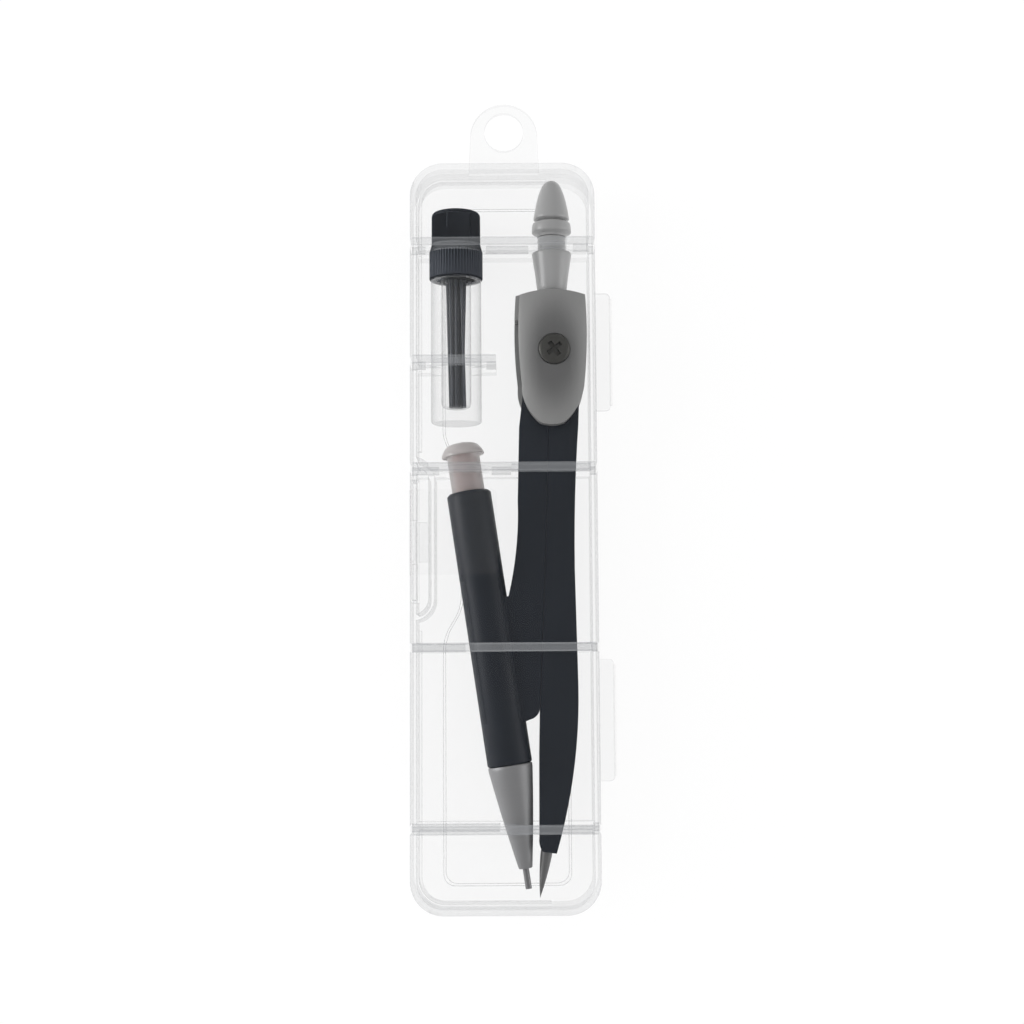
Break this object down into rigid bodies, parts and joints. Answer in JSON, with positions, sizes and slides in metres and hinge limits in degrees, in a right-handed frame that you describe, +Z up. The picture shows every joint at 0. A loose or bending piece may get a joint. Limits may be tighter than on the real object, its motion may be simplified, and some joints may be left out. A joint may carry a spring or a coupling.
{
  "type": "drafting compass set",
  "caption": "Slim hinged translucent case with hang tab holding a drafting compass with a clip-on mechanical pencil and a capped tube of spare leads.",
  "frame": {"origin": "centre of the flat underside of the case body", "axes": "+Z up out of the cover, +Y along the case towards the hang tab, +X towards the hinge"},
  "size_m": [0.0455, 0.1829, 0.0181],
  "materials": {
    "translucent_case": "translucent moulded polypropylene, satin",
    "clear_label": "clear film",
    "light_grey_plastic": "satin moulded plastic",
    "grey_plastic": "satin painted plastic",
    "dark_screw": "blackened steel",
    "steel": "bright drawn steel",
    "black_plastic": "satin black moulded plastic",
    "grey_nose": "satin silver",
    "graphite": "graphite lead",
    "brass": "turned brass",
    "white_plastic": "moulded",
    "smoke_plastic": "smoky translucent plastic",
    "eraser": "soft vinyl",
    "clear_styrene": "clear moulded styrene",
    "cap_plastic": "dark satin moulded plastic, fine ribs"
  },
  "bodies": {
    "case_base": {"case_base": "translucent_case", "hinge_films": "translucent_case"},
    "case_cover": {"case_cover": "translucent_case", "seal_label": "clear_label"},
    "latch_tongue": {"latch_tongue": "translucent_case"},
    "compass_head": {"handle_grip": "light_grey_plastic", "handle_stem": "light_grey_plastic", "handle_core": "steel", "head_cover_front": "grey_plastic", "head_cover_rear": "grey_plastic", "pivot_screw": "dark_screw", "pivot_nut": "steel", "friction_washers": "steel"},
    "needle_leg": {"needle_leg": "black_plastic", "needle": "steel"},
    "pencil_leg": {"pencil_leg": "black_plastic", "pencil_barrel": "black_plastic", "pencil_cone": "grey_nose", "lead_sleeve": "steel", "writing_lead": "graphite", "clutch_ring": "brass", "pencil_spring": "steel"},
    "push_button": {"push_button": "smoke_plastic", "eraser_plug": "eraser", "lead_reservoir": "white_plastic", "clutch_chuck": "brass"},
    "lead_tube": {"lead_tube_body": "clear_styrene", "spare_leads": "graphite"},
    "tube_cap": {"lead_tube_cap": "cap_plastic"}
  },
  "joints": [
    {"name": "cover_hinge", "type": "hinge", "parent": "case_base", "child": "case_cover", "pos_m": [0.02445, 0, 0.009], "axis": [0, 1, 0], "range_deg": [0, 180]},
    {"name": "latch_flex", "type": "hinge", "parent": "case_cover", "child": "latch_tongue", "pos_m": [-0.0202, -0.0013, 0.012], "axis": [0, 1, 0], "range_deg": [0, 8], "stiffness_Nm_per_rad": 0.05},
    {"name": "compass_lift", "type": "slide", "parent": "case_base", "child": "compass_head", "axis": [0, 0, 1], "range_m": [0, 0.0283]},
    {"name": "needle_leg_pivot", "type": "hinge", "parent": "compass_head", "child": "needle_leg", "pos_m": [0.0115, 0.0413, 0.0088], "axis": [0, 0, 1], "range_deg": [0, 40]},
    {"name": "pencil_leg_pivot", "type": "hinge", "parent": "compass_head", "child": "pencil_leg", "pos_m": [0.0115, 0.0413, 0.0088], "axis": [0, 0, -1], "range_deg": [0, 40]},
    {"name": "push_button_slide", "type": "slide", "parent": "pencil_leg", "child": "push_button", "axis": [0.1461, -0.9893, 0], "range_m": [0, 0.002], "stiffness_N_per_m": 400, "deforming": ["pencil_spring"]},
    {"name": "tube_cap_slide", "type": "slide", "parent": "lead_tube", "child": "tube_cap", "axis": [0, 1, 0], "range_m": [0, 0.0058]},
    {"name": "lead_tube_lift", "type": "slide", "parent": "case_base", "child": "lead_tube", "axis": [0, 0, 1], "range_m": [0, 0.0063]}
  ],
  "couplings": [
    {"joint": "compass_lift", "follows": "cover_hinge", "m_per_rad": 0.009},
    {"joint": "needle_leg_pivot", "follows": "cover_hinge", "ratio": 0.07},
    {"joint": "pencil_leg_pivot", "follows": "cover_hinge", "ratio": 0.17},
    {"joint": "lead_tube_lift", "follows": "cover_hinge", "m_per_rad": 0.002}
  ]
}
